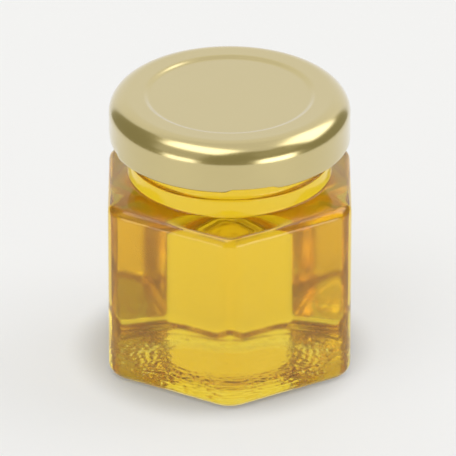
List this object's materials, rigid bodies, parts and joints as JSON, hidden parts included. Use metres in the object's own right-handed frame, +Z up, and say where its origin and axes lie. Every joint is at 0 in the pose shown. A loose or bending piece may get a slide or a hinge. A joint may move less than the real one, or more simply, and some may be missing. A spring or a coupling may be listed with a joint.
{
  "type": "honey jar",
  "caption": "Hexagonal glass jar full of clear golden honey, closed with a round gold-lacquered twist-off lid that has a sunk panel.",
  "frame": {"origin": "centre of the underside of the jar, in the plane that it stands on", "axes": "+Z up along the jar's axis; one upright corner of the hexagonal body points along -Y and the opposite one along +Y, so two flat sides face +X and -X"},
  "size_m": [0.0456, 0.0512, 0.0537],
  "materials": {
    "glass": "clear moulded soda-lime glass, fire polished",
    "honey": "clear golden liquid honey",
    "lacquered_tinplate": "pressed tinplate under a pale gold lacquer, satin"
  },
  "bodies": {
    "root": {"jar": "glass", "honey": "honey", "lid": "lacquered_tinplate"}
  },
  "joints": []
}
